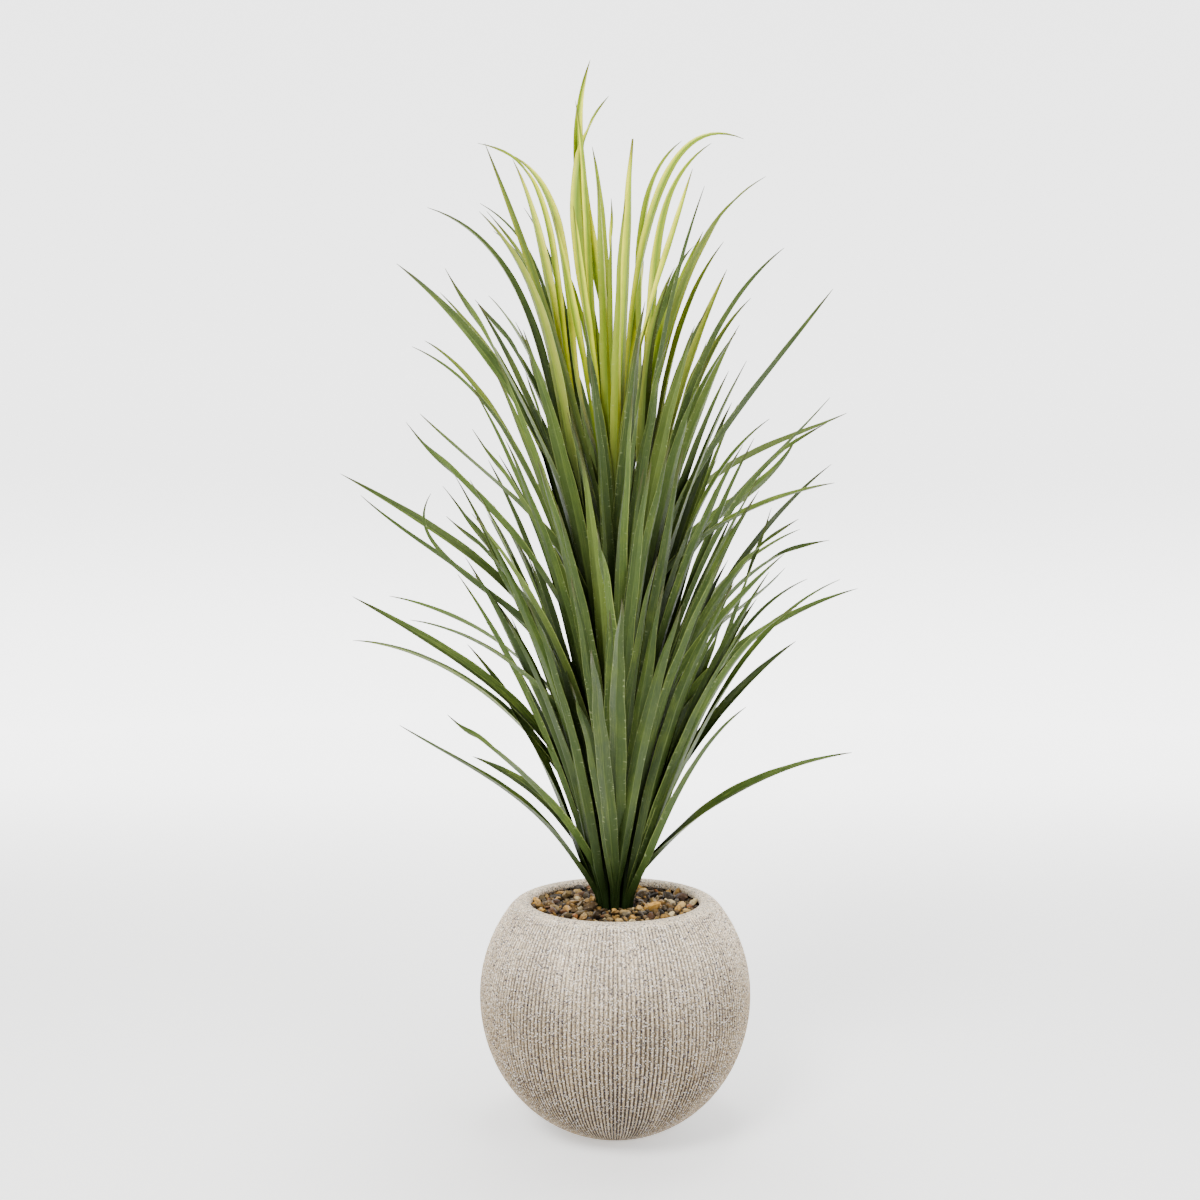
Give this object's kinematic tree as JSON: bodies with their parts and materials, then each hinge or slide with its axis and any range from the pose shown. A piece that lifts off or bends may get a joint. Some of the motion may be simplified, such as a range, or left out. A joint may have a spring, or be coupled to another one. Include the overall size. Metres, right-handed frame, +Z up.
{
  "type": "potted switchgrass",
  "caption": "Tall tuft of arching, folded grass blades in a ribbed globe planter topped with gravel.",
  "frame": {"origin": "centre of the planter's flat foot, on the floor", "axes": "+Z up; +X to the viewer's right and +Y away from the viewer in the picture"},
  "size_m": [0.6655, 0.6005, 1.28],
  "materials": {
    "planter_stone": "matte, speckled, combed into fine upright ribs",
    "planting_mix": "rough",
    "gravel": "dull, mixed browns and greys",
    "leaf": "satin, finely veined along the blade",
    "new_growth": "satin, finely veined along the blade"
  },
  "bodies": {
    "root": {"pot": "planter_stone", "planting_fill": "planting_mix", "gravel": "gravel", "leafy_stem_1": "leaf", "leafy_stem_2": "leaf", "leafy_stem_3": "leaf", "leafy_stem_4": "leaf", "leafy_stem_5": "leaf", "leafy_stem_6": "leaf", "leafy_stem_7": "leaf", "leafy_stem_8": "leaf", "new_growth_stem": "new_growth"}
  },
  "joints": []
}
